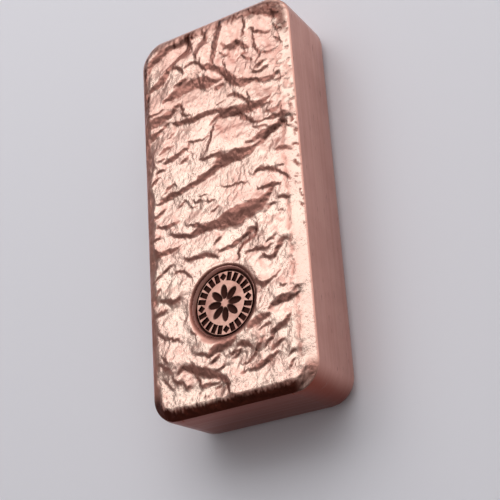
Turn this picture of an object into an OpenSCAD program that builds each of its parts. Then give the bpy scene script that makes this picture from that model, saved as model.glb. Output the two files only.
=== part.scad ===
// Copper ingot: a small bar poured in an open mould.
// The mould gives it drafted walls and a flat base. The open face sets into a wrinkled crust,
// which a round stamp is pressed into. Length runs along Y, width along X, and the crust is up.

/* [Mould] */
// Length at the crust line, where the walls end and the crust begins
bar_length = 86.6; // [60:0.1:140]
// Width at the crust line
bar_width = 38; // [26:0.1:60]
// Height of the walls, from the base up to the crust line
wall_height = 16.4; // [8:0.1:30]
// Draft of the walls, in degrees: the bar is narrower at its base
draft = 1.8; // [0:0.1:5]
// Radius of the four upright corners, at the crust line
corner_radius = 5.6; // [4:0.1:10]
// Radius of the edge between the walls and the base
base_radius = 2.9; // [1:0.1:3.5]

/* [Crust] */
// Width of the rim over which the crust falls away to the walls
rim_width = 2.6; // [1.5:0.1:4]
// Height of the crust above the crust line
rim_rise = 1.2; // [0.8:0.1:2.5]
// Drop from the upper to the lower side of a full-size lap in the skin
lap_drop = 1.6; // [0:0.05:2]
// Width of the steep face of a full-size lap
lap_face = 4.5; // [2:0.1:6]
// Distance over which a lap fades into the skin on either side
lap_fade = 3; // [1.5:0.1:6]

/* [Stamp] */
// Diameter of the stamp's flat floor
stamp_diameter = 14; // [8:0.5:20]
// Depth of the floor under the level of the crust
stamp_depth = 1.2; // [0.3:0.1:2]
// Lean of the stamp's wall, in degrees
stamp_lean = 35; // [0:1:60]
// Distance from the lower end of the bar to the middle of the stamp
stamp_from_end = 21.6; // [14:0.1:40]
// Distance from the centre line to the middle of the stamp, to the left
stamp_off_centre = 0.9; // [0:0.1:5]

/* [Fineness] */
// Spacing of the points on the crust
crust_step = 1.3; // [1:0.1:3]
// Number of bands in the rim and in the base radius
round_bands = 4; // [2:1:6]

/* [Hidden] */
$fn = 64;

half_width = bar_width / 2;
half_length = bar_length / 2;
crust_level = wall_height + rim_rise;

// Laps in the skin, each drawn with its high side on the left, as points of
// [across, along, size]: per cent of the half width and half length, from the middle of the crust,
// and of a full-size lap.
LAPS = [
    [[-81, 9, 15], [-74, 11, 27], [-53, 12, 22], [-34, 13, 27], [-15, 16, 32], [3, 20, 59], [26, 21, 59],
        [38, 21, 39], [58, 24, 20]],
    [[38, 25, 12], [48, 25, 27], [57, 27, 44], [65, 28, 32], [74, 28, 22], [82, 30, 12]],
    [[-59, 50, 12], [-44, 49, 22], [-15, 49, 24], [0, 48, 24], [12, 47, 24], [20, 47, 15]],
    [[-8, 42, 12], [-3, 45, 20], [5, 45, 27], [18, 45, 44], [33, 45, 54], [44, 43, 59], [53, 42, 49],
        [62, 43, 37], [68, 44, 24], [73, 46, 10]],
    [[27, 43, 17], [35, 40, 20], [44, 37, 17], [52, 34, 15], [73, 34, 24], [87, 33, 39], [99, 33, 15]],
    [[-67, 63, 15], [-55, 65, 39], [-42, 67, 59], [-26, 68, 59], [-16, 67, 68], [-5, 65, 54], [3, 65, 29],
        [11, 65, 12]],
    [[-13, 74, 20], [-9, 73, 29], [3, 72, 34], [12, 69, 39], [18, 65, 49], [24, 62, 54], [32, 58, 59],
        [39, 58, 54], [46, 57, 37], [49, 58, 12]],
    [[-87, 73, 20], [-79, 75, 27], [-68, 77, 32], [-61, 81, 39], [-52, 85, 32], [-42, 87, 12]],
    [[-65, 79, 15], [-47, 80, 29], [-39, 83, 32], [-34, 85, 17]],
    [[-38, 94, 15], [-35, 90, 27], [-33, 86, 27], [-34, 84, 15]],
    [[-6, 93, 15], [-8, 89, 29], [-15, 87, 29], [-18, 85, 24], [-19, 81, 15]],
    [[16, 95, 20], [13, 92, 27], [7, 88, 34], [4, 84, 32], [2, 80, 29], [0, 77, 20]],
    [[13, 83, 12], [20, 80, 39], [29, 79, 49], [38, 78, 39], [45, 76, 24], [52, 77, 12]],
    [[41, 93, 20], [58, 92, 39], [72, 91, 59], [82, 88, 68], [91, 85, 44], [94, 81, 15]],
    [[-94, 53, 54], [-82, 54, 44], [-68, 55, 37], [-58, 57, 24], [-52, 57, 12]],
    [[-99, 45, 61], [-89, 47, 54], [-81, 48, 29], [-75, 49, 20], [-68, 52, 17]],
    [[-59, -11, 10], [-48, -12, 20], [-38, -12, 27], [-26, -12, 34], [-15, -12, 39], [-3, -12, 54], [7, -11, 88],
        [19, -11, 98], [29, -9, 78], [41, -9, 78], [49, -8, 63], [56, -6, 37], [61, -3, 20]],
    [[-98, -16, 49], [-89, -17, 49], [-82, -18, 32], [-74, -18, 24], [-63, -17, 20], [-54, -17, 7]],
    [[-48, -24, 17], [-40, -25, 24], [-29, -24, 24], [-19, -25, 22], [-14, -26, 20], [-7, -28, 10]],
    [[17, -31, 24], [20, -27, 34], [25, -25, 37], [29, -24, 20]],
    [[38, -45, 29], [45, -48, 37], [49, -48, 24], [58, -46, 12]],
    [[29, -65, 32], [38, -63, 39], [51, -63, 20]],
    [[52, -71, 20], [59, -70, 24], [67, -69, 24], [72, -66, 15]],
    [[-26, -74, 20], [-19, -73, 34], [-9, -72, 44], [3, -70, 39], [8, -70, 15]],
    [[-65, -79, 15], [-57, -77, 20], [-48, -78, 34], [-41, -79, 44], [-33, -81, 46], [-24, -83, 34],
        [-16, -84, 34], [-9, -86, 32], [-3, -89, 27], [-3, -93, 12]],
    [[25, -85, 15], [33, -85, 22], [42, -83, 27], [51, -82, 24], [57, -81, 12]],
];

function clamp(x, low, high) = max(low, min(high, x));

// The mould's outline

// Half the width of the bar at y, which narrows in the corners.
function half_width_at(y) =
    let (past = max(0, abs(y) - (half_length - corner_radius)))
    half_width - corner_radius + sqrt(max(0, corner_radius ^ 2 - past ^ 2));

// Where p lies against the straight sides of the corner nearest to it.
function into_corner(p) = [
    abs(p.x) - half_width + corner_radius,
    abs(p.y) - half_length + corner_radius,
];

// Distance from the crust line inwards to p.
function from_edge(p) =
    let (q = into_corner(p))
    corner_radius - norm([max(q.x, 0), max(q.y, 0)]) - min(max(q.x, q.y), 0);

// Outward direction at a point of the crust line.
function outward(p) =
    let (q = into_corner(p), d = q.x > 0 && q.y > 0 ? q : q.x > q.y ? [1, 0] : [0, 1])
    [sign(p.x) * d.x, sign(p.y) * d.y] / norm(d);

// The crust's heights

// How p lies to the stretch a to b: [distance, the same to its left, size of the lap there].
function beside(p, a, b) =
    let (
        start = [a.x, a.y],
        along = [b.x, b.y] - start,
        t = clamp((p - start) * along / (along * along), 0, 1)
    )
    [norm(p - start - t * along), cross(along, p - start) / norm(along), a.z + t * (b.z - a.z)];

// The nearest stretch of a lap to p.
function nearest(p, lap) =
    let (
        all = [for (k = [0 : len(lap) - 2]) beside(p, lap[k], lap[k + 1])],
        least = min([for (each_one = all) each_one[0]])
    )
    [for (each_one = all) if (each_one[0] == least) each_one][0];

// A lap's points in millimetres, each with its share of a full-size lap.
function placed(lap) = [for (p = lap) [p.x * half_width, p.y * half_length, p.z] / 100];

// Drop of a lap of this size: small ones are steeper.
function drop(size) = lap_drop * 1.5 * size / (1 + 0.5 * size);

// Height that a lap gives the skin at p: a steep face that eases past the lap's ends,
// and fades into the skin on either side.
function lap_at(p, lap) =
    let (
        n = nearest(p, lap),
        half_face = lap_face * n[2] / 2,
        past_end = sqrt(max(0, n[0] ^ 2 - n[1] ^ 2)),
        across = clamp(n[1] / (half_face + past_end), -1, 1)
    )
    drop(n[2]) / 2 * across * exp(-max(0, n[0] - half_face) / lap_fade);

function total(list) = len(list) == 0 ? 0 : [for (x = list) 1] * list;

placed_laps = [for (lap = LAPS) placed(lap)];

// The rim is round along the left and far walls (1), and runs straight down to the others (0).
function roundness(p) =
    clamp((half_width - p.x) / rim_width - 1, 0, 1) * clamp((half_length + p.y) / rim_width - 1, 0, 1);

// The skin runs level over the bar, falls away along its rim and lies still at the crust line.
function crust_height(p) =
    let (
        share = clamp(from_edge(p) / rim_width, 0, 1),
        rim = share + roundness(p) * (sqrt(1 - (1 - share) ^ 2) - share),
        wrinkles = total([for (lap = placed_laps) lap_at(p, lap)])
    )
    wall_height + rim_rise * rim + share * wrinkles;

// The solid

// Places across a half size, close together over the rim and crust_step apart between.
function stations(half) =
    let (
        rim = [for (k = [0 : round_bands - 1]) half - rim_width * (1 - cos(90 * k / round_bands))],
        inner = half - rim_width,
        gaps = ceil(2 * inner / crust_step)
    )
    concat(-rim, [for (k = [0 : gaps]) -inner + 2 * inner * k / gaps], [for (k = [round_bands - 1 : -1 : 0]) rim[k]]);

// Section of the wall under the crust line, downwards: [offset outwards, height].
function wall_section() =
    let (
        radius = min(base_radius, corner_radius - wall_height * tan(draft) - 0.5),
        centre = (sin(draft) * (radius - wall_height) - radius) / cos(draft)
    )
    [
        for (k = [0 : round_bands])
            let (turn = draft + (90 - draft) * k / round_bands)
            [centre + radius * cos(turn), radius * (1 - sin(turn))]
    ];

// The cast body is one loft: the crust's grid of points, then rings down the walls to the base.
module cast_body() {
    across = stations(half_width);
    rows = stations(half_length);
    columns = len(across);
    last_row = len(rows) - 1;
    crust = [
        for (y = rows, x = across)
            let (p = [x * half_width_at(y) / half_width, y])
            [p.x, p.y, crust_height(p)]
    ];
    // The crust line, anticlockwise from the lower right
    line = concat(
        [for (j = [0 : last_row]) j * columns + columns - 1],
        [for (i = [columns - 2 : -1 : 0]) last_row * columns + i],
        [for (j = [last_row - 1 : -1 : 0]) j * columns],
        [for (i = [1 : columns - 2]) i]
    );
    around = len(line);
    section = wall_section();
    rings = [
        for (s = section, k = line)
            let (p = [crust[k].x, crust[k].y], q = p + s[0] * outward(p))
            [q.x, q.y, s[1]]
    ];
    // Index of point k of ring r, where ring -1 is the crust line
    function ring(r, k) = r < 0 ? line[k % around] : len(crust) + r * around + k % around;
    crust_faces = [
        for (j = [0 : last_row - 1], i = [0 : columns - 2])
            let (a = j * columns + i, b = a + columns)
            each [[a, b, b + 1], [a, b + 1, a + 1]]
    ];
    wall_faces = [
        for (r = [-1 : len(section) - 2], k = [0 : around - 1])
            each [
                [ring(r, k), ring(r, k + 1), ring(r + 1, k + 1)],
                [ring(r, k), ring(r + 1, k + 1), ring(r + 1, k)]
            ]
    ];
    // The base is a fan about its middle, the last point
    middle = len(crust) + len(rings);
    last = len(section) - 1;
    base_faces = [for (k = [0 : around - 1]) [ring(last, k), ring(last, k + 1), middle]];
    polyhedron(concat(crust, rings, [[0, 0, 0]]), concat(crust_faces, wall_faces, base_faces));
}

// The stamp's die: a short cone that leaves a flat round floor in the crust.
module stamp_die() {
    reach = stamp_depth + lap_drop;
    floor_radius = stamp_diameter / 2;
    translate([-stamp_off_centre, stamp_from_end - half_length, crust_level - stamp_depth])
        cylinder(h = reach, r1 = floor_radius, r2 = floor_radius + reach * tan(stamp_lean));
}

module ingot() {
    color([0.85, 0.53, 0.43])
        difference() {
            cast_body();
            stamp_die();
        }
}

ingot();
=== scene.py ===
import math

import bpy
import numpy as np
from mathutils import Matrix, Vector, noise


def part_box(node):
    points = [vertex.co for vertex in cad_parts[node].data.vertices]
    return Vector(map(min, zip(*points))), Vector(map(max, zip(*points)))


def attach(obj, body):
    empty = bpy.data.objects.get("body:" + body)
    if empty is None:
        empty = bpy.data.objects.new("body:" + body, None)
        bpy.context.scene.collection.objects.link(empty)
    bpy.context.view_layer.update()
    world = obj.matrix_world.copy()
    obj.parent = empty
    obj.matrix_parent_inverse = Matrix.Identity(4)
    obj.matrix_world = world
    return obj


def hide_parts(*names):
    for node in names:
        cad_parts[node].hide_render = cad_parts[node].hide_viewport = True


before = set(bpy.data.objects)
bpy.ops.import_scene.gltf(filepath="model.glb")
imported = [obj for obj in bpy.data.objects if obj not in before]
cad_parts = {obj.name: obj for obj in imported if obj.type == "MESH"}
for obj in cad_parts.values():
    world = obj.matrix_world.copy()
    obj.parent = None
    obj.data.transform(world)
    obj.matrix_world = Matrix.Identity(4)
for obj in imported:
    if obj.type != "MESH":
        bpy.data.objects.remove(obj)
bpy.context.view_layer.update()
bpy.ops.object.select_all(action="DESELECT")

# The camera
# A long lens close to the bar, above its lower right, so that the crust, the right wall and the near end
# show. Its place is in metres and its turn in degrees.
camera_place = (0.1267, -0.1143, 0.2170)
camera_turn = (21.318, 32.609, -4.229)
bpy.ops.object.camera_add(
    location=camera_place,
    rotation=[math.radians(turn) for turn in camera_turn],
)
camera = bpy.context.object
camera.data.lens = 93.4
camera.data.sensor_width = 36
bpy.context.scene.camera = camera

# The ingot
# One casting of copper, poured in an open iron mould. The mould drew the walls smooth; the open face
# skinned over while the metal under it sank, so it set in laps, with a rim along the walls. Sizes are in mm.
MM = 0.001
bar_low, bar_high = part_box("ingot")
half_width = (bar_high.x - bar_low.x) / 2 / MM
half_length = (bar_high.y - bar_low.y) / 2 / MM
wall_height = 16.4
draft_run = 0.52
rolled = 0.9
rolled_run = 0.12
corner_radius = 5.6
base_radius = 2.9
base_bands = 8
rim_width = 2.6
near_rim_width = 2.4
rim_rise = 1.1
crust_level = wall_height + rim_rise
crust_columns = 178
crust_rows = 398

# The stamp's place, and what it did to the crust about it.
stamp_x = -0.9
stamp_y = -21.7
stamp_radius = 7.5
stamp_edge = crust_level - 0.3
pressed_share = 0.7
shoulder_start = stamp_radius - 0.2
shoulder_width = 0.9
shoulder_drop = 0.4
under_stamp = 2.2

# What the laps and the skin between them are like.
lap_slope = 0.55
lap_spread = 1.1
lap_reach = 14
lap_flattening = 0.12
fade_least = 3
fade_most = 13
fade_growth = 5
face_blur = 0.35
ragged_run = 0.4
ragged_size = 2.2
fray_size = 0.9
level_reach = 4.5
pleat_depth = 0.1
mottle_depth = 0.15
groove_depth = 0.07
groove_width = 0.75
groove_x = 15.7
nick_depth = 0.12
blunt_zone = 0.35
blunt_run = 0.3

# Where the skin is gathered in pleats: spots as (x, y, reach).
gathers = [(2.5, 16, 3), (7, 27, 3), (6, 33, 3), (3.5, 2.5, 4), (8, -22, 2.5), (8, -32, 4)]

# Laps in the skin as routes of (x, y, width of the steep face), from the middle of the crust.
# Each is drawn with its high side on the left.
laps = [
    [(-17.2, 31.2, 0.8), (-15, 32, 1.4), (-13, 33.2, 1.5), (-11.6, 34.5, 1.3), (-10.8, 35.4, 0.5)],
    [(-6, 41, 0.8), (-5.9, 39.6, 1.3), (-6.5, 38.3, 1.5), (-8, 37.1, 1.7), (-10, 36.2, 1.5),
     (-11.4, 35.2, 0.8)],
    [(-10.8, 34.8, 0.3), (-9.6, 34.9, 0.8), (-8.5, 34.6, 0.9), (-7.9, 33.6, 0.9), (-7.5, 32.4, 0.5)],
    [(-7, 33.7, 0.3), (-5.7, 34.4, 0.6), (-3.5, 34, 0.5)],
    [(-5.3, 40.2, 0.4), (-5.4, 39, 0.6), (-5.2, 37.9, 0.4)],
    [(-1.3, 41, 1), (-1.7, 39, 1.6), (-2.6, 38, 1.6), (-3.5, 36.8, 1.3), (-3.7, 35, 0.7)],
    [(-2.6, 34.7, 0.3), (-2.7, 33.5, 0.6), (-2.6, 32.4, 0.6)],
    [(2.8, 41.4, 1.4), (2.1, 39.6, 1.7), (1.3, 38, 1.9), (1, 36, 1.7), (0.7, 34.3, 1.6), (0.2, 32.4, 1)],
    [(-9.9, 30, 0.4), (-8.8, 30.5, 0.9), (-7.5, 31, 0.7), (-7, 31.4, 0.3)],
    [(-2.5, 32.2, 0.8), (-1.2, 32.1, 1.2), (0.5, 31.2, 1.4), (2.2, 29.9, 1.6), (3.5, 28.3, 2),
     (4.5, 26.8, 2.2),
     (6, 25.3, 2.4), (7.5, 24.9, 2.2), (8.8, 24.6, 1.5), (9.4, 24.9, 0.5)],
    [(2.8, 36, 0.5), (3.9, 34.9, 1.1), (5.3, 34.5, 1.2), (6.2, 34.8, 0.5)],
    [(5.8, 35.4, 0.4), (7, 35.1, 0.9), (7.9, 33.9, 1), (9.3, 33.2, 0.5)],
    [(2.4, 33.9, 0.4), (3.3, 32.9, 0.7), (4.3, 33, 0.4)],
    [(10.5, 35.4, 0.5), (10.6, 33.2, 0.9), (11.4, 31.6, 0.8), (11.9, 30.2, 0.8), (11, 29.4, 0.4)],
    [(8.4, 40, 0.6), (8.6, 38.4, 1), (8.1, 36.6, 0.8), (8, 35.8, 0.3)],
    [(10.2, 37.3, 0.4), (11.3, 36, 0.9), (12.8, 35.4, 0.8), (14.2, 35.1, 0.5)],
    [(7.4, 41.3, 0.8), (11, 41.3, 1.6), (14, 40.5, 2.4), (16.2, 39.1, 2.6), (17.5, 37.2, 2),
     (18, 35.3, 0.8)],
    [(12.5, 30.3, 0.5), (13.8, 29.6, 0.9), (15.2, 30, 0.4)],
    [(3.1, 32, 0.3), (3.2, 31, 0.5), (3.7, 30.2, 0.3)],
    [(7.2, 31.9, 0.4), (8.6, 30.4, 0.7), (10, 29.6, 0.6)],
    [(-17.5, 36.5, 1.2), (-15.5, 38.6, 1.8), (-13, 40, 1.6), (-10, 41, 1.4), (-7, 41.2, 1.2),
     (-4.5, 41, 0.8)],
    [(15, 33.4, 0.4), (16, 32.5, 0.6), (17.2, 31.3, 0.4)],
    [(15.5, 36.2, 0.5), (16.4, 34.9, 0.8), (17.8, 34.6, 0.5)],
    [(-13, 27.1, 0.6), (-10.5, 28.2, 1.6), (-8, 29.1, 2.4), (-5, 29.6, 2.4), (-3, 29, 2.8), (-1, 28, 2.2),
     (0.5, 28, 1.2), (2, 28.3, 0.5)],
    [(-0.2, 26.1, 0.4), (0.8, 26.5, 0.9), (2.2, 27, 0.6)],
    [(-17.7, 24.5, 0.5), (-16.4, 25, 0.8), (-15, 24.8, 0.6), (-12.9, 25.6, 0.4)],
    [(-17.8, 23, 2.2), (-15.5, 23.3, 1.8), (-13, 23.8, 1.5), (-11, 24.6, 1), (-9.8, 24.8, 0.5)],
    [(-10.4, 25.3, 0.5), (-9.2, 25.7, 0.8), (-8.1, 24.3, 0.7), (-8, 23.7, 0.3)],
    [(-18.8, 19.5, 2.5), (-17, 20.2, 2.2), (-15.4, 20.6, 1.2), (-14.2, 21.2, 0.8), (-13, 22.3, 0.7),
     (-12.2, 22.5, 0.4)],
    [(-11.2, 21.7, 0.5), (-10, 21.5, 0.9), (-8.4, 21.3, 0.9), (-6.4, 20.9, 1), (-2.8, 21.1, 1), (0, 21, 1),
     (2.2, 20.5, 1), (3.8, 20.2, 0.6)],
    [(-1.5, 18.4, 0.5), (-0.6, 19.3, 0.8), (1, 19.5, 1.1), (3.5, 19.3, 1.8), (6.3, 19.3, 2.2),
     (8.3, 18.8, 2.4),
     (10, 18.3, 2), (11.8, 18.6, 1.5), (13, 19.2, 1), (13.9, 19.9, 0.4)],
    [(3.6, 23.7, 0.4), (4.9, 23.2, 0.8), (6, 22.2, 0.8), (7.2, 21.2, 0.8), (8.3, 20.4, 0.5)],
    [(8, 22.4, 0.3), (8.5, 21.5, 0.6), (8.8, 20.6, 0.4)],
    [(5.2, 18.7, 0.7), (6.6, 17.3, 0.9), (8.3, 16, 0.8), (9.9, 14.6, 0.7), (11.9, 14.4, 0.6),
     (13.8, 14.6, 1),
     (15.2, 14.7, 1.2), (16.6, 14.3, 1.6), (18.8, 14.3, 0.6)],
    [(8.8, 14, 0.3), (9.9, 13.4, 0.5), (12.4, 13, 0.4)],
    [(13.8, 12.6, 0.5), (14.9, 13.4, 0.8), (16.3, 13.2, 0.8), (16.8, 12.8, 0.3)],
    [(10, 24.9, 0.8), (11, 24.4, 0.9), (12.2, 23.8, 1), (13.8, 23.8, 0.8), (15.8, 24.7, 0.4)],
    [(14.7, 23.3, 0.4), (16, 23.1, 0.5), (17, 23.2, 0.3)],
    [(10, 26.6, 0.5), (11.3, 26, 0.8), (13.3, 26.5, 0.5)],
    [(10.5, 27.2, 0.4), (11.6, 27.6, 0.9), (12.6, 28.3, 0.4)],
    [(12.4, 18.1, 0.4), (13.3, 17.8, 0.6), (14.3, 17.9, 0.3)],
    [(12.4, 16.3, 0.5), (13.6, 15.9, 0.9), (15.3, 16.4, 0.5)],
    [(-0.3, 18, 0.4), (-0.8, 16.6, 0.8), (-1.4, 15, 0.7), (-2, 12.9, 0.4)],
    [(-7, 16, 0.3), (-5, 15.4, 0.4), (-1.7, 15.4, 0.3)],
    [(-14.4, 15.2, 0.4), (-13.1, 16, 0.9), (-11.7, 16.3, 0.7), (-10.6, 16.1, 0.3)],
    [(-13, 12.8, 0.7), (-11.2, 13.5, 1), (-9.8, 13.7, 0.9), (-8.4, 14.1, 0.8), (-7.3, 14.6, 0.6),
     (-6.9, 15.4, 0.4)],
    [(-14.6, 13.6, 0.4), (-13.8, 14, 0.5), (-13.2, 14, 0.3)],
    [(-12.4, 18.6, 0.3), (-11.6, 18.9, 0.5), (-11.1, 19.7, 0.3)],
    [(0.4, 22.3, 0.3), (1.4, 22.4, 0.5), (2.5, 22.7, 0.3)],
    [(-8.8, 23.3, 0.3), (-7.3, 22.4, 0.5), (-6.2, 22, 0.3)],
    [(-16.6, 15.6, 0.4), (-16.4, 14.2, 0.6), (-16.1, 12.8, 0.4)],
    [(-15.5, 3.7, 0.5), (-14, 4.6, 1.1), (-11.7, 4.8, 1.2), (-10, 5, 0.9), (-8.4, 5.2, 0.8),
     (-6.4, 5.6, 1.1),
     (-4.5, 6.3, 1.3), (-2.8, 6.8, 1.3), (-0.6, 7.7, 1.6), (0.5, 8.8, 2.4), (2.7, 8.9, 2.5), (5, 8.9, 2.4),
     (7.2, 8.9, 1.6), (9.4, 9.6, 0.9), (11, 10.3, 0.8), (12.3, 11, 0.4)],
    [(7.2, 10.7, 0.5), (9.1, 11, 1.1), (10.8, 11.6, 1.8), (12.4, 12, 1.3), (14.1, 12.2, 0.9),
     (15.5, 13.1, 0.5)],
    [(-4.6, 10.9, 0.3), (-2.6, 10.2, 0.6), (-1.2, 10.6, 0.7), (0, 10.8, 0.4)],
    [(-13.3, 5.8, 0.3), (-12.6, 6.8, 0.7), (-11.2, 7.2, 0.6), (-10.8, 7, 0.3)],
    [(-16.6, 0.5, 0.6), (-15.3, 1.3, 0.8), (-14, 2.4, 0.4)],
    [(-10.7, 1.4, 0.3), (-9.5, 2.1, 0.5), (-8.2, 2.4, 0.3)],
    [(-6.6, 1.7, 0.3), (-5.5, 1.4, 0.5), (-4.4, 1.4, 0.3)],
    [(-3.2, 0.7, 0.3), (-2.2, 0.6, 0.5), (-1.2, 0.8, 0.3)],
    [(-5, 2.4, 0.2), (-4, 2.4, 0.4), (-3.2, 2.5, 0.2)],
    [(-7.4, 1, 0.3), (-6.6, 0.7, 0.4), (-5.8, 0.8, 0.2)],
    [(0.4, 3.2, 0.2), (2, 2.5, 0.5), (4.5, 2.2, 0.5), (6.4, 2, 0.3)],
    [(8.4, 3.5, 0.4), (9.7, 3.9, 0.9), (11.3, 3.8, 0.9), (12.7, 3.1, 0.9), (14.1, 2.4, 0.8),
     (14.9, 1.6, 0.7),
     (16.1, 0.4, 0.7), (16.7, -0.5, 0.3)],
    [(14.3, 3.5, 0.3), (15, 3.3, 0.5), (15.7, 3.1, 0.3)],
    [(14, 7.1, 0.5), (15.5, 7.1, 1), (17.7, 6.6, 0.6)],
    [(16.7, 12.1, 0.4), (18, 11.4, 0.7), (19, 10.4, 0.4)],
    [(9.1, -0.3, 0.3), (11, -0.5, 1), (12.4, -0.2, 1), (14.5, -0.5, 0.3)],
    [(-2.4, -2.1, 0.4), (-1.4, -1.8, 0.6), (-0.2, -1.2, 0.3)],
    [(-16, -1.4, 0.4), (-14, -1.8, 0.7), (-11.7, -1.9, 0.7), (-10.2, -1.5, 0.3)],
    [(-16.8, 8.6, 0.5), (-15.8, 9.3, 0.9), (-14.9, 10, 0.5)],
    [(-15.6, 11.2, 0.4), (-14.4, 11.5, 0.6), (-13.4, 11.6, 0.3)],
    [(-9.3, 11.5, 0.4), (-8.1, 11.9, 0.7), (-7.3, 12.6, 0.3)],
    [(-11.3, -4.7, 0.4), (-9.2, -5.3, 0.8), (-7.3, -5.4, 1.1), (-5, -5, 1.4), (-2.8, -5, 1.6),
     (-0.6, -5.1, 2.2),
     (1.3, -4.8, 3.6), (3.6, -4.7, 4), (5.5, -4, 3.2), (7.7, -3.9, 3.2), (9.4, -3.6, 2.6),
     (10.6, -2.6, 1.5),
     (11.6, -1.4, 0.8), (12.3, -0.7, 0.4)],
    [(-7.6, -3.5, 0.3), (-5.6, -3.9, 0.7), (-4.7, -4.4, 0.4)],
    [(13.5, -3.3, 0.3), (15.2, -3.6, 0.7), (16.2, -3.9, 0.3)],
    [(10.8, -4.7, 0.3), (11.7, -4.4, 0.5), (12.8, -4.3, 0.3)],
    [(-18.6, -7, 2), (-17, -7.2, 2), (-15.5, -7.7, 1.3), (-14, -7.7, 1), (-12, -7.4, 0.8),
     (-10.3, -7.2, 0.3)],
    [(-1.8, -9, 0.3), (-1.2, -8.2, 0.6), (-0.8, -7.6, 0.3)],
    [(5, -8.9, 0.5), (6.3, -8.4, 1), (7.8, -8.3, 0.5)],
    [(7.9, -7.2, 0.3), (7.8, -8.2, 0.6), (7.8, -9.4, 0.3)],
    [(-9.4, -10.5, 0.5), (-7.6, -11, 0.9), (-5.6, -10.6, 0.9), (-3.7, -10.7, 0.9), (-2.6, -11.3, 0.8),
     (-1.4, -12.1, 0.4)],
    [(-1.2, -10.8, 0.4), (0.5, -10.6, 0.7), (2.2, -10.3, 0.7), (4.1, -9.4, 0.7), (5.2, -8.9, 0.4)],
    [(5.6, -10.2, 0.6), (4.7, -10.7, 1.2), (3.8, -11.8, 1.1), (3.3, -13.6, 0.6)],
    [(5.2, -12.9, 0.4), (6.9, -12.7, 0.7), (8.3, -12.9, 0.7), (9.9, -13.3, 0.7), (11.6, -12.9, 0.3)],
    [(9, -14.8, 0.5), (10.8, -15.4, 1), (12.4, -14.3, 1), (13.3, -12.9, 0.9), (14.4, -12.2, 0.8),
     (15.1, -12.6, 0.4)],
    [(10.4, -12.2, 0.3), (11.3, -11.8, 0.5), (12.3, -11.6, 0.3)],
    [(-12.2, -12.7, 0.4), (-10.9, -12.4, 0.7), (-9.8, -12.9, 0.7), (-8.4, -14, 0.5), (-7.7, -14.6, 0.3)],
    [(-14.9, -11.9, 0.3), (-13.7, -11.1, 0.6), (-12.5, -10.6, 0.3)],
    [(-17.4, -13.7, 0.5), (-16.2, -12.9, 0.7), (-15.2, -12, 0.4)],
    [(-17.1, -16.9, 0.4), (-16.4, -15.7, 0.7), (-15.5, -15.2, 0.3)],
    [(-17.9, -4, 0.6), (-16.4, -4.3, 0.9), (-15.2, -3.5, 0.4)],
    [(-12.7, -3.7, 0.2), (-12, -4, 0.4), (-11.1, -4.3, 0.3)],
    [(13.2, -6, 0.2), (13.9, -6, 0.4), (14.4, -6.2, 0.2)],
    [(-15.8, -17.5, 0.4), (-13.9, -18.2, 0.9), (-12.3, -19.2, 1), (-11, -18.4, 0.4)],
    [(-18.4, -21.1, 1.2), (-16.4, -20.7, 0.9), (-14.7, -20, 0.4)],
    [(-17, -24.6, 0.3), (-16.1, -25.4, 0.6), (-15.2, -26.2, 0.4)],
    [(-14.3, -25.9, 0.4), (-13.1, -26.7, 0.6), (-11.6, -27.2, 0.4)],
    [(9.6, -26.1, 0.5), (10.5, -25.4, 0.9), (12.4, -25, 1.1), (14.4, -24.7, 0.9),
     (15.5, -24.4, 0.6), (16.7, -24, 0.3)],
    [(11.7, -24.3, 0.3), (13, -24, 0.5), (14.5, -24, 0.3)],
    [(7, -19.4, 1), (8.6, -20.8, 1.4), (9.4, -20.6, 1), (11, -20, 0.5), (12.7, -18.9, 0.3)],
    [(5.3, -28.4, 1.2), (7.2, -27.2, 1.6), (9.7, -27.3, 0.7)],
    [(-8.8, -26, 0.4), (-8, -26.8, 0.7), (-7.4, -27.6, 0.4)],
    [(12.4, -22, 0.2), (13.1, -22.3, 0.5), (13.8, -22.1, 0.2)],
    [(15.8, -22.9, 0.3), (16.4, -22.9, 0.5), (16.9, -22.7, 0.2)],
    [(9.9, -30.8, 0.7), (11.3, -30.2, 1), (12.7, -29.6, 1), (13.7, -28.4, 0.6), (14.1, -27.8, 0.3)],
    [(-5.2, -32.3, 0.6), (-3.7, -31.5, 1.4), (-1.7, -31, 1.8), (0.5, -30.5, 1.6), (1.7, -30.1, 0.6)],
    [(-7.4, -31.1, 0.4), (-5.9, -31.5, 0.8), (-4.7, -32.2, 0.5)],
    [(-4.5, -33.7, 0.5), (-3.4, -33.3, 0.8), (-2.2, -32.5, 0.4)],
    [(-3.2, -35.5, 0.4), (-2.2, -35.2, 0.6), (-1.1, -34.6, 0.4)],
    [(0, -32.8, 0.4), (1.3, -32.6, 0.7), (2.8, -32.4, 0.4)],
    [(0.7, -33.8, 0.3), (1.7, -33.3, 0.6), (2.7, -32.8, 0.3)],
    [(2.1, -31.5, 0.5), (3.6, -31.6, 1), (5.1, -32.2, 0.5)],
    [(-12.4, -34.2, 0.5), (-10.9, -33.3, 0.8), (-9.2, -33.6, 1.4), (-7.8, -34.4, 1.8), (-6.2, -35.2, 1.9),
     (-4.5, -35.8, 1.4), (-3.1, -36.3, 1.4), (-1.7, -37.3, 1.3), (-0.6, -38.6, 1.1), (-0.5, -40.3, 0.5)],
    [(-7.8, -35.8, 0.5), (-6.6, -37.8, 0.8), (-4.5, -37.7, 0.7), (-2.8, -37.6, 0.3)],
    [(-15.7, -34.4, 0.4), (-14.5, -36, 0.6), (-13.8, -36.7, 0.3)],
    [(-13.5, -34.6, 0.4), (-12.6, -36, 0.8), (-11.2, -36.3, 0.8), (-10.3, -37.2, 0.7), (-9.1, -37, 0.3)],
    [(-17.1, -31, 0.4), (-15.9, -31.6, 0.7), (-15, -32.6, 0.8), (-13.8, -33.1, 0.4)],
    [(-15.7, -29.9, 0.3), (-15.1, -30.8, 0.6), (-14.4, -31.7, 0.4)],
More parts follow.
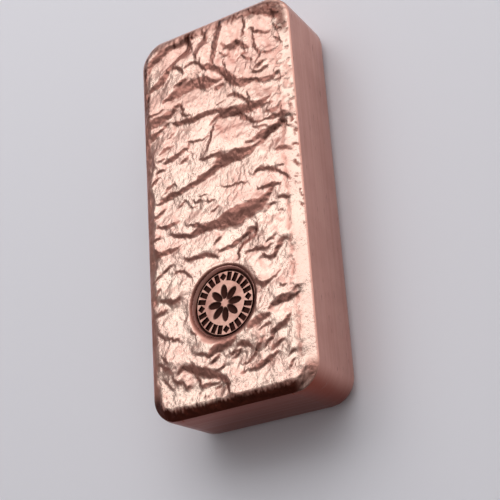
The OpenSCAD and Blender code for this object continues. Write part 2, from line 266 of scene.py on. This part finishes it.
    [(3.2, -35.6, 0.4), (5, -34.8, 0.7), (6, -33.8, 0.7), (6.9, -32.7, 0.7), (7.8, -31.5, 0.4)],
    [(4.6, -37.1, 0.5), (6.3, -36.8, 0.9), (8, -36, 1.1), (9.7, -35.4, 1), (10.9, -34.9, 0.5)],
    [(9.8, -33.9, 0.6), (11, -33.4, 1.1), (12.3, -32.6, 0.5)],
    [(7.2, -29.8, 0.4), (8.5, -28.9, 0.7), (9.9, -28.8, 0.4)],
    [(8.2, -33.1, 0.4), (9.1, -32.2, 0.7), (10, -31.5, 0.4)],
    [(2.2, -37.5, 0.3), (3, -37.3, 0.5), (3.8, -37.1, 0.3)],
    [(13.6, -36.1, 0.3), (14.3, -35.6, 0.6), (15.1, -35.4, 0.3)],
    [(13.4, -38.5, 0.3), (13.9, -37.8, 0.6), (14.4, -37.2, 0.3)],
    [(-4, -38.9, 0.3), (-3.2, -38.5, 0.5), (-2.5, -38.3, 0.3)],
]

# The crust starts as a flat grid, drawn in to the mould's outline with its round corners.
bpy.ops.mesh.primitive_grid_add(x_subdivisions=crust_columns, y_subdivisions=crust_rows, size=2)
ingot = bpy.context.object
ingot.name = "ingot_casting"
flat = np.zeros(len(ingot.data.vertices) * 3)
ingot.data.vertices.foreach_get("co", flat)
flat = flat.reshape(-1, 3)
y = flat[:, 1] * half_length
past_corner = np.maximum(0, np.abs(y) - (half_length - corner_radius))
x = flat[:, 0] * (half_width - corner_radius + np.sqrt(np.maximum(0, corner_radius**2 - past_corner**2)))
grid_shape = (crust_rows + 1, crust_columns + 1)
grid_steps = (2 * half_length / crust_rows, 2 * half_width / crust_columns)


def waver(size, seed, hard=False, depth=3, longer=1, lean=0):
    """Noise over the crust with features of about this size in mm: waves, or sharp creases if hard.
    They are so many times longer along a direction that leans this many degrees from the length."""
    shift = Vector((seed * 17.3, seed * 9.1, seed * 5.7))
    turn = math.radians(lean)
    across = x * math.cos(turn) - y * math.sin(turn)
    along = x * math.sin(turn) + y * math.cos(turn)
    points = zip(across / size, along / (size * longer))
    if hard:
        return np.array([noise.turbulence(Vector((a, b, 0)) + shift, depth, True) for a, b in points])
    return np.array([noise.fractal(Vector((a, b, 0)) + shift, 0.9, 2, depth) for a, b in points])


def smooth(share):
    """0 below 0 and 1 above 1, smooth between."""
    share = np.clip(share, 0, 1)
    return share * share * (3 - 2 * share)


def rise(field, low, high):
    """0 up to low and 1 from high, smooth between."""
    return smooth((field - low) / (high - low))


def fall(field, low, high):
    """1 up to low and 0 from high, smooth between."""
    return 1 - rise(field, low, high)


def levelled(field, reach):
    """A field over the crust, blurred over about this many mm."""
    field = field.reshape(grid_shape)
    for axis, step in enumerate(grid_steps):
        beyond = int(3 * reach / step)
        bell = np.exp(-((np.arange(-beyond, beyond + 1) * step / reach) ** 2) / 2)
        border = [(beyond, beyond) if axis == side else (0, 0) for side in (0, 1)]
        wide = np.pad(field, border, mode="edge")
        field = np.apply_along_axis(np.convolve, axis, wide, bell / bell.sum(), "valid")
    return field.ravel()


def rounded_route(route):
    """The route's points joined by a smooth curve, about half a millimetre apart."""
    p = np.array([route[0]] + route + [route[-1]], float)
    curve = []
    for a, b, c, d in zip(p, p[1:], p[2:], p[3:]):
        steps = max(2, int(np.hypot(*(c - b)[:2]) / 0.5))
        for t in np.arange(steps) / steps:
            bend = (2 * a - 5 * b + 4 * c - d) * t**2 + (3 * b - a - 3 * c + d) * t**3
            curve.append(b + (c - a) * t / 2 + bend / 2)
    curve.append(p[-1])
    return np.array(curve)


# Distances to a lap are taken from points that are shifted a little, and its face is frayed, so that its
# edges are ragged.
ragged_x = x + ragged_run * waver(ragged_size, 1)
ragged_y = y + ragged_run * waver(ragged_size, 3)
fray = ragged_run * waver(fray_size, 4)


def beside(route):
    """Points near a route, with their distance to it, the same to its left, and its third value there."""
    curve = rounded_route(route)
    near = np.nonzero(
        (ragged_x > curve[:, 0].min() - lap_reach)
        & (ragged_x < curve[:, 0].max() + lap_reach)
        & (ragged_y > curve[:, 1].min() - lap_reach)
        & (ragged_y < curve[:, 1].max() + lap_reach)
    )[0]
    a = curve[:-1, :, None]
    along = curve[1:, :, None] - a
    length = np.hypot(along[:, 0], along[:, 1])
    off_x = ragged_x[near] - a[:, 0]
    off_y = ragged_y[near] - a[:, 1]
    t = np.clip((off_x * along[:, 0] + off_y * along[:, 1]) / length**2, 0, 1)
    gap = np.hypot(off_x - t * along[:, 0], off_y - t * along[:, 1])
    least = gap.min(0)
    share = np.exp((least - gap) / (0.1 + 0.2 * least))
    share /= share.sum(0)
    side = (share * (along[:, 0] * off_y - along[:, 1] * off_x) / length).sum(0)
    value = (share * (a[:, 2] + t * along[:, 2])).sum(0)
    return near, least, side, value


# A lap drops over its steep face from the high side to the low one. Both die away with distance, over a
# longer way if the face is wide, and wide faces are frayed less.
height = np.zeros(len(x))
steepness = np.zeros(len(x))
for route in laps:
    near, least, side, value = beside(route)
    width = lap_spread * value
    past_end = np.sqrt(np.maximum(0, least**2 - side**2))
    frayed = side + fray[near] / (1 + 0.6 * width)
    ramp = np.clip(frayed / (width / 2 + past_end), -1, 1)
    off_face = np.maximum(0, least - width / 2) / np.minimum(fade_most, fade_least + fade_growth * width)
    fade = np.maximum(0, 1 - off_face**2) ** 2
    drop = lap_slope * width / (1 + lap_flattening * width)
    height[near] += drop / 2 * (1.1 * ramp - 0.1 * ramp**3) * fade
    on_face = smooth((width / 2 - np.abs(frayed) - past_end) / face_blur + 0.5)
    steepness[near] = np.maximum(steepness[near], on_face)

# The skin between the laps is creased like crumpled foil, less so in calm patches. It is pleated where it
# was gathered and mottled by the far right rim, and the near half lies in low waves.
calm = smooth(0.55 + 0.9 * waver(7, 8, depth=2, longer=1.6, lean=65)) * (1 - steepness)
fine_creases = 0.045 * waver(0.7, 5, depth=2, longer=1.4, lean=-20)
sharp_creases = 0.09 * (1 - 0.5 * calm) * (waver(1.4, 10, True, depth=2, longer=1.4, lean=25) - 0.5)
gathered = np.zeros(len(x))
for spot_x, spot_y, reach in gathers:
    gathered = np.maximum(gathered, np.exp(-((x - spot_x) ** 2 + (y - spot_y) ** 2) / reach**2))
pleats = gathered * waver(0.6, 14, depth=2, longer=2.5, lean=12)
mottle = smooth(0.1 + 2 * waver(0.9, 18, depth=3, longer=1.6, lean=35))
mottle *= rise(x, 13.5, 15.5) * rise(y, 8, 16)
creases = fine_creases - sharp_creases + pleat_depth * pleats - mottle_depth * mottle
creases *= 1 + 0.3 * rise(y, 15, 25) - 0.2 * fall(y, -20, -12)
low_waves = 0.12 * fall(y, -14, -6) * waver(2.4, 20, depth=2, longer=1.6, lean=50)
wide_folds = 0.14 * (1 - 0.4 * calm) * (waver(4.2, 7, True, depth=2, longer=2, lean=68) - 0.5)
height += low_waves - wide_folds

# The metal under the skin found its own level, so the folds add up to no hill or hollow.
height -= levelled(height, level_reach)

# The laps die away over the rim, which is round at the far end, half round and lumpy on the left, and
# straight on the right and at the near end.
corner_x = np.abs(x) - half_width + corner_radius
corner_y = np.abs(y) - half_length + corner_radius
from_edge = (
    corner_radius
    - np.hypot(np.maximum(corner_x, 0), np.maximum(corner_y, 0))
    - np.minimum(np.maximum(corner_x, corner_y), 0)
)
left_side = rise(-x, half_width - 5, half_width - 2)
right_side = rise(x, half_width - 5, half_width - 2)
near_end = rise(-y, half_length - 7, half_length - 4)
lumps = 0.7 * left_side * waver(3, 15) * smooth(from_edge / 1.5)
in_rim = np.clip((from_edge + lumps) / rim_width, 0, 1)
rim_slope = np.clip((from_edge + 0.3 * waver(1.6, 11) * smooth(from_edge)) / near_rim_width, 0, 1)
roundness = (1 - right_side) * (1 - 0.5 * left_side)
rim = in_rim + roundness * (np.sqrt(1 - (1 - in_rim) ** 2) - in_rim)
rim = rim * (1 - near_end) + rim_slope * near_end
height = wall_height + rim_rise * rim + height * in_rim

# The near part of the right rim was drawn smooth. A shallow groove runs along its inner side, and slanting
# nicks lie along the middle of its outer edge.
drawn_smooth = rise(x, 16, 17) * fall(y, 10, 18)
height += creases * smooth(from_edge / 0.6) * (1 - 0.75 * drawn_smooth)
groove = np.exp(-(((x - groove_x - 0.4 * waver(9, 9)) / groove_width) ** 2)) * rise(from_edge, 1.2, 2)
groove *= fall(y, 18, 26) * smooth(0.7 + waver(1.5, 23))
nicks = smooth(1.5 - waver(0.8, 12, True, depth=1, longer=3, lean=-40) / 0.12)
nicks *= rise(x, 17.2, 17.7) * smooth(0.5 + 3 * waver(1, 13, depth=2)) * smooth(from_edge / 0.3)
nicks *= rise(y, -16, -8) * fall(y, 16, 24)
height -= groove_depth * groove + nick_depth * nicks

# The stamp pressed the skin about it flat and left a rolled shoulder. Within it the crust runs on deep under
# the stamp's own floor.
from_stamp = np.hypot(x - stamp_x, y - stamp_y)
pressed = fall(from_stamp, stamp_radius + 0.1, stamp_radius + 1.6)
height += pressed_share * pressed * (crust_level - height)
shoulder = np.clip((from_stamp - shoulder_start) / shoulder_width, 0, 1)
height -= shoulder_drop * (1 - np.sqrt(shoulder))
height = np.where(from_stamp < shoulder_start, stamp_edge - under_stamp, height)

# No fold stands higher than the ingot's highest point, and those near it are blunt.
blunt = bar_high.z / MM - blunt_zone
height = np.where(height > blunt, blunt + blunt_run * np.tanh((height - blunt) / blunt_run), height)

within_x = x * (1 - rolled_run / half_width)
within_y = y * (1 - rolled_run / half_length)
ingot.data.vertices.foreach_set("co", (np.stack([within_x, within_y, height], 1) * MM).ravel())

# Tarnish stays where nothing rubs it off: in creases and pleats, and along the rims in ragged bands. The
# brown on the steep faces is partly tarnish and partly painted shade, and the brown about the stamp and in a
# thin line along the right edge is painted shade.
slope = np.hypot(*np.gradient(levelled(height, 0.3).reshape(grid_shape), *grid_steps)).ravel()
fine_slope = np.hypot(*np.gradient(height.reshape(grid_shape), *grid_steps)).ravel()
rubbed = rise(x, half_width - 5, half_width - 3) * (1 - near_end)
far_rim = rise(y, half_length - 3, half_length - 1.5)
# Brown on the slopes: partly tarnish, partly painted shade.
slope_tarnish_and_shade = np.maximum(0.8 * rise(slope, 0.12, 0.38), 0.45 * rise(fine_slope, 0.08, 0.28))
slope_tarnish_and_shade *= (1 - 0.5 * far_rim) * (1 - rubbed)
far_stains = rise(y, 18, 26) * smooth(0.5 + 1.2 * waver(2.5, 24, longer=2, lean=50))
far_ragged = y - half_length + 0.9 * waver(1, 17, longer=2.5)
left_ragged = from_edge - 0.8 * waver(1.2, 19)
by_left = left_side * rise(y, 22, 30) * fall(left_ragged, 1.6, 3)
browned = np.maximum(rise(far_ragged, -3.4, -2.2), by_left)
tarnish_and_shade = np.maximum.reduce([
    slope_tarnish_and_shade,
    0.85 * steepness * in_rim,
    0.75 * groove,
    0.9 * nicks,
    # A thin brown line along the right edge: painted shadow.
    0.8 * right_side * fall(from_edge, 0.15, 0.4),
    0.4 * far_stains,
    # Brown round the stamp: painted shade.
    0.9 * smooth(1.5 * (1 - shoulder)),
    0.6 * gathered * smooth(0.4 + 2 * pleats),
    0.6 * mottle,
    0.6 * browned,
    0.85 * left_side * fall(in_rim, 0.5, 1),
])

# It is nearly black with tarnish in the nicks and in streaks along the far and left rims, and nearly black as
# painted shade at the foot of the laps, on their steep faces, round the stamp, in the far right corner and on
# the near rim.
# Painted shade at the foot of each lap, where the crust lies below its surroundings.
shade_at_foot = rise(levelled(height, 0.75) - height, 0.05, 0.21) * rise(from_edge, 0.6, 2.2)
shade_at_foot *= smooth(2 * levelled(steepness, 0.4))
rim_streaks = rise(from_edge, 0.2, 1) * smooth(0.5 + 0.6 * waver(0.8, 21, longer=3))
# The far right corner is painted nearly black as painted shade.
far_corner_shade = rise(x, 6, 10) * rise(y, 32, 36) * rise(from_edge, 0.4, 1.2)
far_corner_shade *= 0.7 + 0.25 * waver(0.6, 25, depth=2, longer=2, lean=-30)
corner_ragged = from_edge - 1.8 * waver(1.3, 22)
# The near rim is painted nearly black as painted shade, short of the right corner.
near_rim_shade = near_end * fall(x, 13.5, 16.5)
band_ragged = 2.6 * (1 - rim_slope) + 0.9 * rim_slope * waver(0.5, 16, longer=2)
blackening_and_shade = np.maximum.reduce([
    0.75 * shade_at_foot,
    0.32 * steepness * in_rim,
    0.6 * nicks,
    # Nearly black round the stamp: painted shade.
    0.8 * smooth(1.7 * (1 - shoulder)),
    browned * rim_streaks,
    far_corner_shade * fall(corner_ragged, 2.4, 4.4),
    near_rim_shade * smooth(band_ragged),
])

# Along the far edge the roll of the rim is painted paler, a painted highlight.
far_edge_highlight = rise(y, 30, 36) * fall(x, 15, 17) * fall(from_edge, 0.5, 1.1)
tarnish_and_shade += far_edge_highlight * (0.5 - tarnish_and_shade)
blackening_and_shade *= 1 - far_edge_highlight
for name, amount in [("tarnish_and_shade", tarnish_and_shade), ("blackening_and_shade", blackening_and_shade)]:
    ingot.data.attributes.new(name, "FLOAT", "POINT").data.foreach_set("value", amount)

# The walls are drawn down from the rim with the mould's draft, closed by the base and rounded into it.
bpy.ops.object.mode_set(mode="EDIT")
bpy.ops.mesh.select_all(action="SELECT")
bpy.ops.mesh.region_to_loop()
for lift, run in [(rolled, -rolled_run), (wall_height - rolled, draft_run)]:
    bpy.ops.mesh.extrude_edges_move(TRANSFORM_OT_translate={"value": (0, 0, -lift * MM)})
    bpy.ops.transform.resize(
        value=(1 - run / half_width, 1 - run / half_length, 1),
        center_override=(0, 0, 0),
    )
bpy.ops.transform.resize(value=(1, 1, 0), center_override=(0, 0, 0))
bpy.ops.mesh.edge_face_add()
bpy.ops.mesh.region_to_loop()
bpy.ops.mesh.bevel(offset=base_radius * MM, segments=base_bands, affect="EDGES", clamp_overlap=False)
bpy.ops.mesh.select_all(action="SELECT")
bpy.ops.mesh.normals_make_consistent(inside=False)
bpy.ops.object.mode_set(mode="OBJECT")
bpy.ops.object.shade_smooth_by_angle(angle=math.radians(50))


class Shade:
    """A socket of a material, which takes Python's operators by adding Math nodes."""

    def __init__(self, tree, socket=None):
        self.tree = tree
        self.socket = socket

    def add(self, kind, sockets, out=0, **settings):
        """Adds a node: its settings first, then the values or links of its sockets."""
        node = self.tree.nodes.new(kind)
        for name, value in settings.items():
            setattr(node, name, value)
        for name, value in sockets.items():
            if isinstance(value, Shade):
                self.tree.links.new(value.socket, node.inputs[name])
            else:
                node.inputs[name].default_value = value
        return Shade(self.tree, node.outputs[out] if node.outputs else None)

    def maths(self, operation, first, second):
        return self.add("ShaderNodeMath", {0: first, 1: second}, operation=operation)

    def __add__(self, other):
        return self.maths("ADD", self, other)

    def __radd__(self, other):
        return self.maths("ADD", other, self)

    def __sub__(self, other):
        return self.maths("SUBTRACT", self, other)

    def __rsub__(self, other):
        return self.maths("SUBTRACT", other, self)

    def __mul__(self, other):
        return self.maths("MULTIPLY", self, other)

    def __rmul__(self, other):
        return self.maths("MULTIPLY", other, self)

    def between(self, low, high):
        """0 up to low and 1 from high, smooth between."""
        return self.add(
            "ShaderNodeMapRange",
            {"Value": self, "From Min": low, "From Max": high},
            interpolation_type="SMOOTHSTEP",
        )

    def noise(self, size, stretch=(1, 1, 1), detail=4, twist=0):
        """Cloudy noise with features of about this size in mm, longer along an axis by its stretch."""
        scaled = self.add(
            "ShaderNodeMapping",
            {"Vector": self, "Scale": [1 / (size * MM * s) for s in stretch]},
        )
        sockets = {"Vector": scaled, "Scale": 1, "Detail": detail, "Distortion": twist}
        return self.add("ShaderNodeTexNoise", sockets)

    def blend(self, first, second):
        """The first colour where this is 0, the second where it is 1."""
        return self.add(
            "ShaderNodeMix",
            {"Factor": self, 6: first, 7: second},
            out=2,
            data_type="RGBA",
        )


# Bare copper on the crust, brown and then nearly black with tarnish and with painted shade. The walls are
# satin, with drag lines along them and short scars, and the near one is darker with painted shade.
bright_copper = (0.925, 0.685, 0.575, 1)
pink_copper = (0.9, 0.615, 0.52, 1)
# The brown and the nearly black colours carry tarnish and painted shade.
brown_tarnish_and_shade = (0.57, 0.23, 0.18, 1)
dark_tarnish_and_shade = (0.085, 0.02, 0.013, 1)
pale_wall = (0.64, 0.345, 0.285, 1)
dull_wall = (0.56, 0.285, 0.23, 1)
near_wall_shade = (0.26, 0.066, 0.044, 1)
scarred_wall = (0.33, 0.14, 0.11, 1)
copper = bpy.data.materials.new("cast_copper")
copper.use_nodes = True
copper.node_tree.nodes.clear()
start = Shade(copper.node_tree)
place = start.add("ShaderNodeTexCoord", {}, out="Object")
lengthwise = start.add("ShaderNodeSeparateXYZ", {"Vector": place}, out="Y")
up = start.add("ShaderNodeSeparateXYZ", {"Vector": place}, out="Z")
on_crust = up.between((wall_height - 0.1) * MM, (wall_height + 0.1) * MM)
on_shaded_near_wall = 1 - lengthwise.between((1 - half_length) * MM, (5 - half_length) * MM)
tarnished_and_shaded = start.add("ShaderNodeAttribute", {}, out="Fac", attribute_name="tarnish_and_shade")
blackened_and_shaded = start.add("ShaderNodeAttribute", {}, out="Fac", attribute_name="blackening_and_shade")
cloud = place.noise(7).between(0.35, 0.65)
grain = place.noise(0.4, stretch=(1, 1.6, 1), detail=3)
fleck = 1 - place.noise(0.9, detail=3, twist=2.5).between(0.32, 0.42)
fleck = fleck * place.noise(3).between(0.4, 0.6)
drag = place.noise(0.7, stretch=(50, 50, 1), detail=3).between(0.3, 0.7)
scar = place.noise(0.4, stretch=(9, 9, 1), detail=2).between(0.67, 0.75)
stained = tarnished_and_shaded + (1 - tarnished_and_shaded) * fleck * 0.5
crust_colour = stained.blend(cloud.blend(bright_copper, pink_copper), brown_tarnish_and_shade)
crust_colour = blackened_and_shaded.blend(crust_colour, dark_tarnish_and_shade)
wall_colour = (0.4 * drag + 0.6 * cloud).blend(pale_wall, dull_wall)
# The near end wall gets a darker, redder colour: painted shade.
wall_colour = on_shaded_near_wall.blend(wall_colour, near_wall_shade)
wall_colour = scar.blend(wall_colour, scarred_wall)
colour = on_crust.blend(wall_colour, crust_colour)
roughness = on_crust * (0.18 + 0.14 * grain + 0.1 * tarnished_and_shaded) + (1 - on_crust) * (0.30 + 0.1 * drag)
relief = on_crust * (grain - 0.3 * fleck) - (1 - on_crust) * scar * 0.2
bump = start.add("ShaderNodeBump", {"Height": relief, "Strength": 0.5, "Distance": 0.14 * MM})
metal = start.add(
    "ShaderNodeBsdfPrincipled",
    {"Base Color": colour, "Metallic": 1.0, "Roughness": roughness, "Normal": bump},
)
start.add("ShaderNodeOutputMaterial", {"Surface": metal})
ingot.data.materials.append(copper)
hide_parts("ingot")
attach(ingot, "root")

# The stamp
# The dish that a steel die left in the crust: a leaning wall, a sunk ring, and in it a flat satin field
# with a ring of sunk bars and lozenges and a rosette. All that is sunk is painted nearly black as painted
# shade.
dish_depth = 0.55
sunk = 0.35
stamp_field = stamp_edge - dish_depth
marks = 24
lozenge_every = 6
marks_radius = 5.5
lozenge_size = (1.2, 1.2)
bar_size = (1.85, 1.1)
petals = 8
petals_radius = 2.35
petal_size = (1.6, 0.8)
bpy.ops.object.select_all(action="DESELECT")
bpy.ops.mesh.primitive_cylinder_add(
    vertices=128,
    radius=stamp_radius * MM,
    depth=2 * MM,
    location=(stamp_x * MM, stamp_y * MM, (stamp_edge - 1) * MM),
)
stamp = bpy.context.object
stamp.name = "stamp_floor"
bpy.ops.object.transform_apply(location=True)
bpy.ops.object.mode_set(mode="EDIT")
bpy.ops.mesh.select_mode(type="FACE")
bpy.ops.mesh.select_all(action="DESELECT")
bpy.ops.object.mode_set(mode="OBJECT")
for face in stamp.data.polygons:
    face.select = face.normal.z > 0.9
bpy.ops.object.mode_set(mode="EDIT")
for inwards, lift in [(0.15, 0), (0.4, -dish_depth), (0.1, -sunk), (0.25, 0), (0.1, sunk)]:
    bpy.ops.mesh.inset(thickness=inwards * MM)
    bpy.ops.transform.translate(value=(0, 0, lift * MM))
bpy.ops.object.mode_set(mode="OBJECT")
cutters = []


def cutter():
    """Keeps the new primitive for cutting the field, with its place in its mesh."""
    bpy.ops.object.transform_apply(location=True, rotation=True, scale=True)
    cutters.append(bpy.context.object)


def on_stamp(radius, turn):
    """The point of the field at this radius in mm and turn in degrees."""
    angle = math.radians(turn)
    across = stamp_x + radius * math.cos(angle)
    along = stamp_y + radius * math.sin(angle)
    return (across * MM, along * MM, stamp_field * MM)


for k in range(marks):
    turn = 360 * k / marks
    lozenge = k % lozenge_every == 0
    wide, deep = lozenge_size if lozenge else bar_size
    bpy.ops.mesh.primitive_cube_add(
        size=1,
        location=on_stamp(marks_radius, turn),
        rotation=(0, 0, math.radians(turn + (45 if lozenge else 0))),
        scale=(wide * MM, deep * MM, 2 * sunk * MM),
    )
    cutter()
for k in range(petals):
    turn = 360 * k / petals
    bpy.ops.mesh.primitive_uv_sphere_add(
        segments=24,
        ring_count=12,
        radius=1,
        location=on_stamp(petals_radius, turn),
        rotation=(0, 0, math.radians(turn)),
        scale=(petal_size[0] * MM, petal_size[1] * MM, sunk * MM),
    )
    cutter()
bpy.ops.object.select_all(action="DESELECT")
for piece in cutters:
    piece.select_set(True)
bpy.context.view_layer.objects.active = cutters[0]
bpy.ops.object.join()
marks_cutter = bpy.context.object
bpy.ops.object.select_all(action="DESELECT")
stamp.select_set(True)
bpy.context.view_layer.objects.active = stamp
cut = stamp.modifiers.new("marks", "BOOLEAN")
cut.object = marks_cutter
cut.solver = "EXACT"
cut.use_self = True
bpy.ops.object.modifier_apply(modifier=cut.name)
bpy.data.objects.remove(marks_cutter)
bpy.ops.object.shade_smooth_by_angle(angle=math.radians(35))

pale_satin = (0.64, 0.37, 0.3, 1)
dull_satin = (0.44, 0.22, 0.18, 1)
dish_wall = (0.62, 0.32, 0.27, 1)
sunk_shade = (0.05, 0.018, 0.014, 1)
struck = bpy.data.materials.new("struck_copper")
struck.use_nodes = True
struck.node_tree.nodes.clear()
start = Shade(struck.node_tree)
place = start.add("ShaderNodeTexCoord", {}, out="Object")
up = start.add("ShaderNodeSeparateXYZ", {"Vector": place}, out="Z")
in_mark = 1 - up.between((stamp_field - 0.2) * MM, (stamp_field - 0.03) * MM)
on_wall = up.between((stamp_field + 0.05) * MM, (stamp_field + 0.2) * MM)
cloud = place.noise(2.5).between(0.35, 0.65)
grain = place.noise(0.3, detail=3)
field_colour = on_wall.blend(cloud.blend(pale_satin, dull_satin), dish_wall)
# Sunk marks get painted shade.
colour = in_mark.blend(field_colour, sunk_shade)
roughness = 0.3 + 0.25 * in_mark + 0.2 * on_wall
bump = start.add("ShaderNodeBump", {"Height": grain, "Strength": 0.4, "Distance": 0.05 * MM})
metal = start.add(
    "ShaderNodeBsdfPrincipled",
    {"Base Color": colour, "Metallic": 1.0, "Roughness": roughness, "Normal": bump},
)
start.add("ShaderNodeOutputMaterial", {"Surface": metal})
stamp.data.materials.clear()
stamp.data.materials.append(struck)
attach(stamp, "root")

# The floor
# A plain pale sheet that the bar lies on, matt and large enough to fill the view.
bpy.ops.mesh.primitive_plane_add(size=4, location=(0, 0, 0))
floor = bpy.context.object
floor.name = "floor"
paper = bpy.data.materials.new("pale_paper")
paper.use_nodes = True
paper.node_tree.nodes["Principled BSDF"].inputs["Base Color"].default_value = (0.78, 0.77, 0.82, 1)
paper.node_tree.nodes["Principled BSDF"].inputs["Roughness"].default_value = 0.9
floor.data.materials.append(paper)

# The light
# A wide soft box overhead, beyond the far end of the bar and brightest in its middle, a dimmer panel above
# the bar's left, and a fill that shows in no reflection. The room has pale walls and a dim ceiling, which is
# darkest in front. Sizes are in metres.
softbox_place = Vector((0.05, 0.303, 0.449))
softbox_layers = [(0.95, 0.42, 1.17), (1.25, 0.58, 0.5), (1.6, 0.76, 0.15)]
panel_place = Vector((-0.22, -0.03, 0.58))
panel_layer = (0.9, 0.34, 0.34)


def sheet_of_light(place, across, deep, glow):
    """A rectangle of light that faces the bar, with a glow per area."""
    bpy.ops.object.light_add(
        type="AREA",
        location=place,
        rotation=place.to_track_quat("Z", "Y").to_euler(),
    )
    light = bpy.context.object.data
    light.shape = "RECTANGLE"
    light.size = across
    light.size_y = deep
    light.energy = glow * math.pi * across * deep


for layer in softbox_layers:
    sheet_of_light(softbox_place, *layer)
sheet_of_light(panel_place, *panel_layer)
bpy.ops.object.light_add(type="AREA", location=(0.05, 0.6, 0.6), rotation=(math.radians(-45), 0, 0))
fill = bpy.context.object
fill.data.size = 0.8
fill.data.energy = 2.2
fill.visible_glossy = False

front_ceiling = (0.03, 0.028, 0.027, 1)
dim_ceiling = (0.17, 0.162, 0.162, 1)
far_wall_colour = (0.6, 0.59, 0.6, 1)
near_walls_colour = (0.5, 0.49, 0.49, 1)
world = bpy.data.worlds.new("room")
world.use_nodes = True
start = Shade(world.node_tree)
view = start.add("ShaderNodeTexCoord", {}, out="Generated")
ahead = start.add("ShaderNodeSeparateXYZ", {"Vector": view}, out="Y")
above = start.add("ShaderNodeSeparateXYZ", {"Vector": view}, out="Z")
on_far_wall = ahead.between(0.6, 0.9)
on_near_walls = (1 - ahead.between(0, 0.4)) * (1 - above.between(0.3, 0.6))
room = ahead.between(-0.6, -0.15).blend(front_ceiling, dim_ceiling)
room = on_far_wall.blend(room, far_wall_colour)
room = on_near_walls.blend(room, near_walls_colour)
world.node_tree.links.new(room.socket, world.node_tree.nodes["Background"].inputs["Color"])
bpy.context.scene.world = world

bpy.context.scene.view_settings.view_transform = "Standard"
